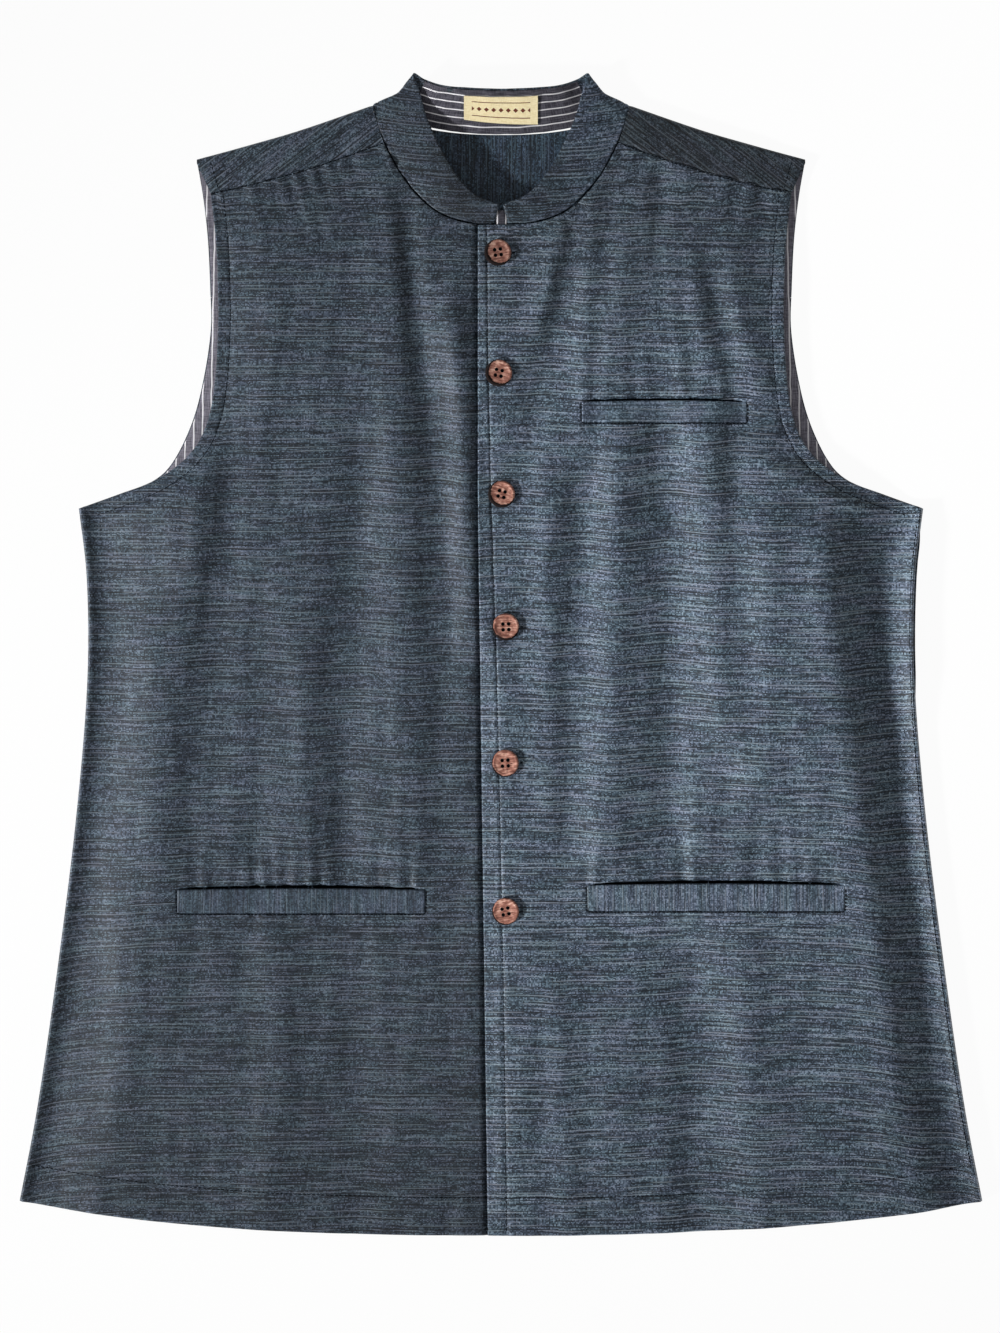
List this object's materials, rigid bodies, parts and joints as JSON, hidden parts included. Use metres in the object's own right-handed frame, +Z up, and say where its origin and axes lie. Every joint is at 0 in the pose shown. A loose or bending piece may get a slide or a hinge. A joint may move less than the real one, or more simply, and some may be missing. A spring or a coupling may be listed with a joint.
{
  "type": "nehru jacket",
  "caption": "Sleeveless band-collar jacket in slubbed cloth, buttoned down the front with welt pockets, laid flat on its back.",
  "frame": {"origin": "centre of the jacket's footprint, on the surface that it lies on", "axes": "+Y towards the collar, +X towards the side with the chest pocket (the wearer's left), +Z up, out of the front"},
  "size_m": [0.635, 0.7642, 0.0232],
  "materials": {
    "jacket_cloth": "matte",
    "facing_cloth": "matte",
    "label_cloth": "satin",
    "button": "satin"
  },
  "bodies": {
    "root": {"back_panel": "jacket_cloth", "yoke": "jacket_cloth", "front_left": "jacket_cloth", "front_right": "jacket_cloth", "collar": "jacket_cloth", "collar_facing": "facing_cloth", "neck_label": "label_cloth", "neck_loop": "facing_cloth", "armhole_facing_left": "facing_cloth", "armhole_facing_right": "facing_cloth", "chest_welt": "jacket_cloth", "left_pocket_welt": "jacket_cloth", "right_pocket_welt": "jacket_cloth", "button_1": "button", "button_2": "button", "button_3": "button", "button_4": "button", "button_5": "button", "button_6": "button"}
  },
  "joints": []
}
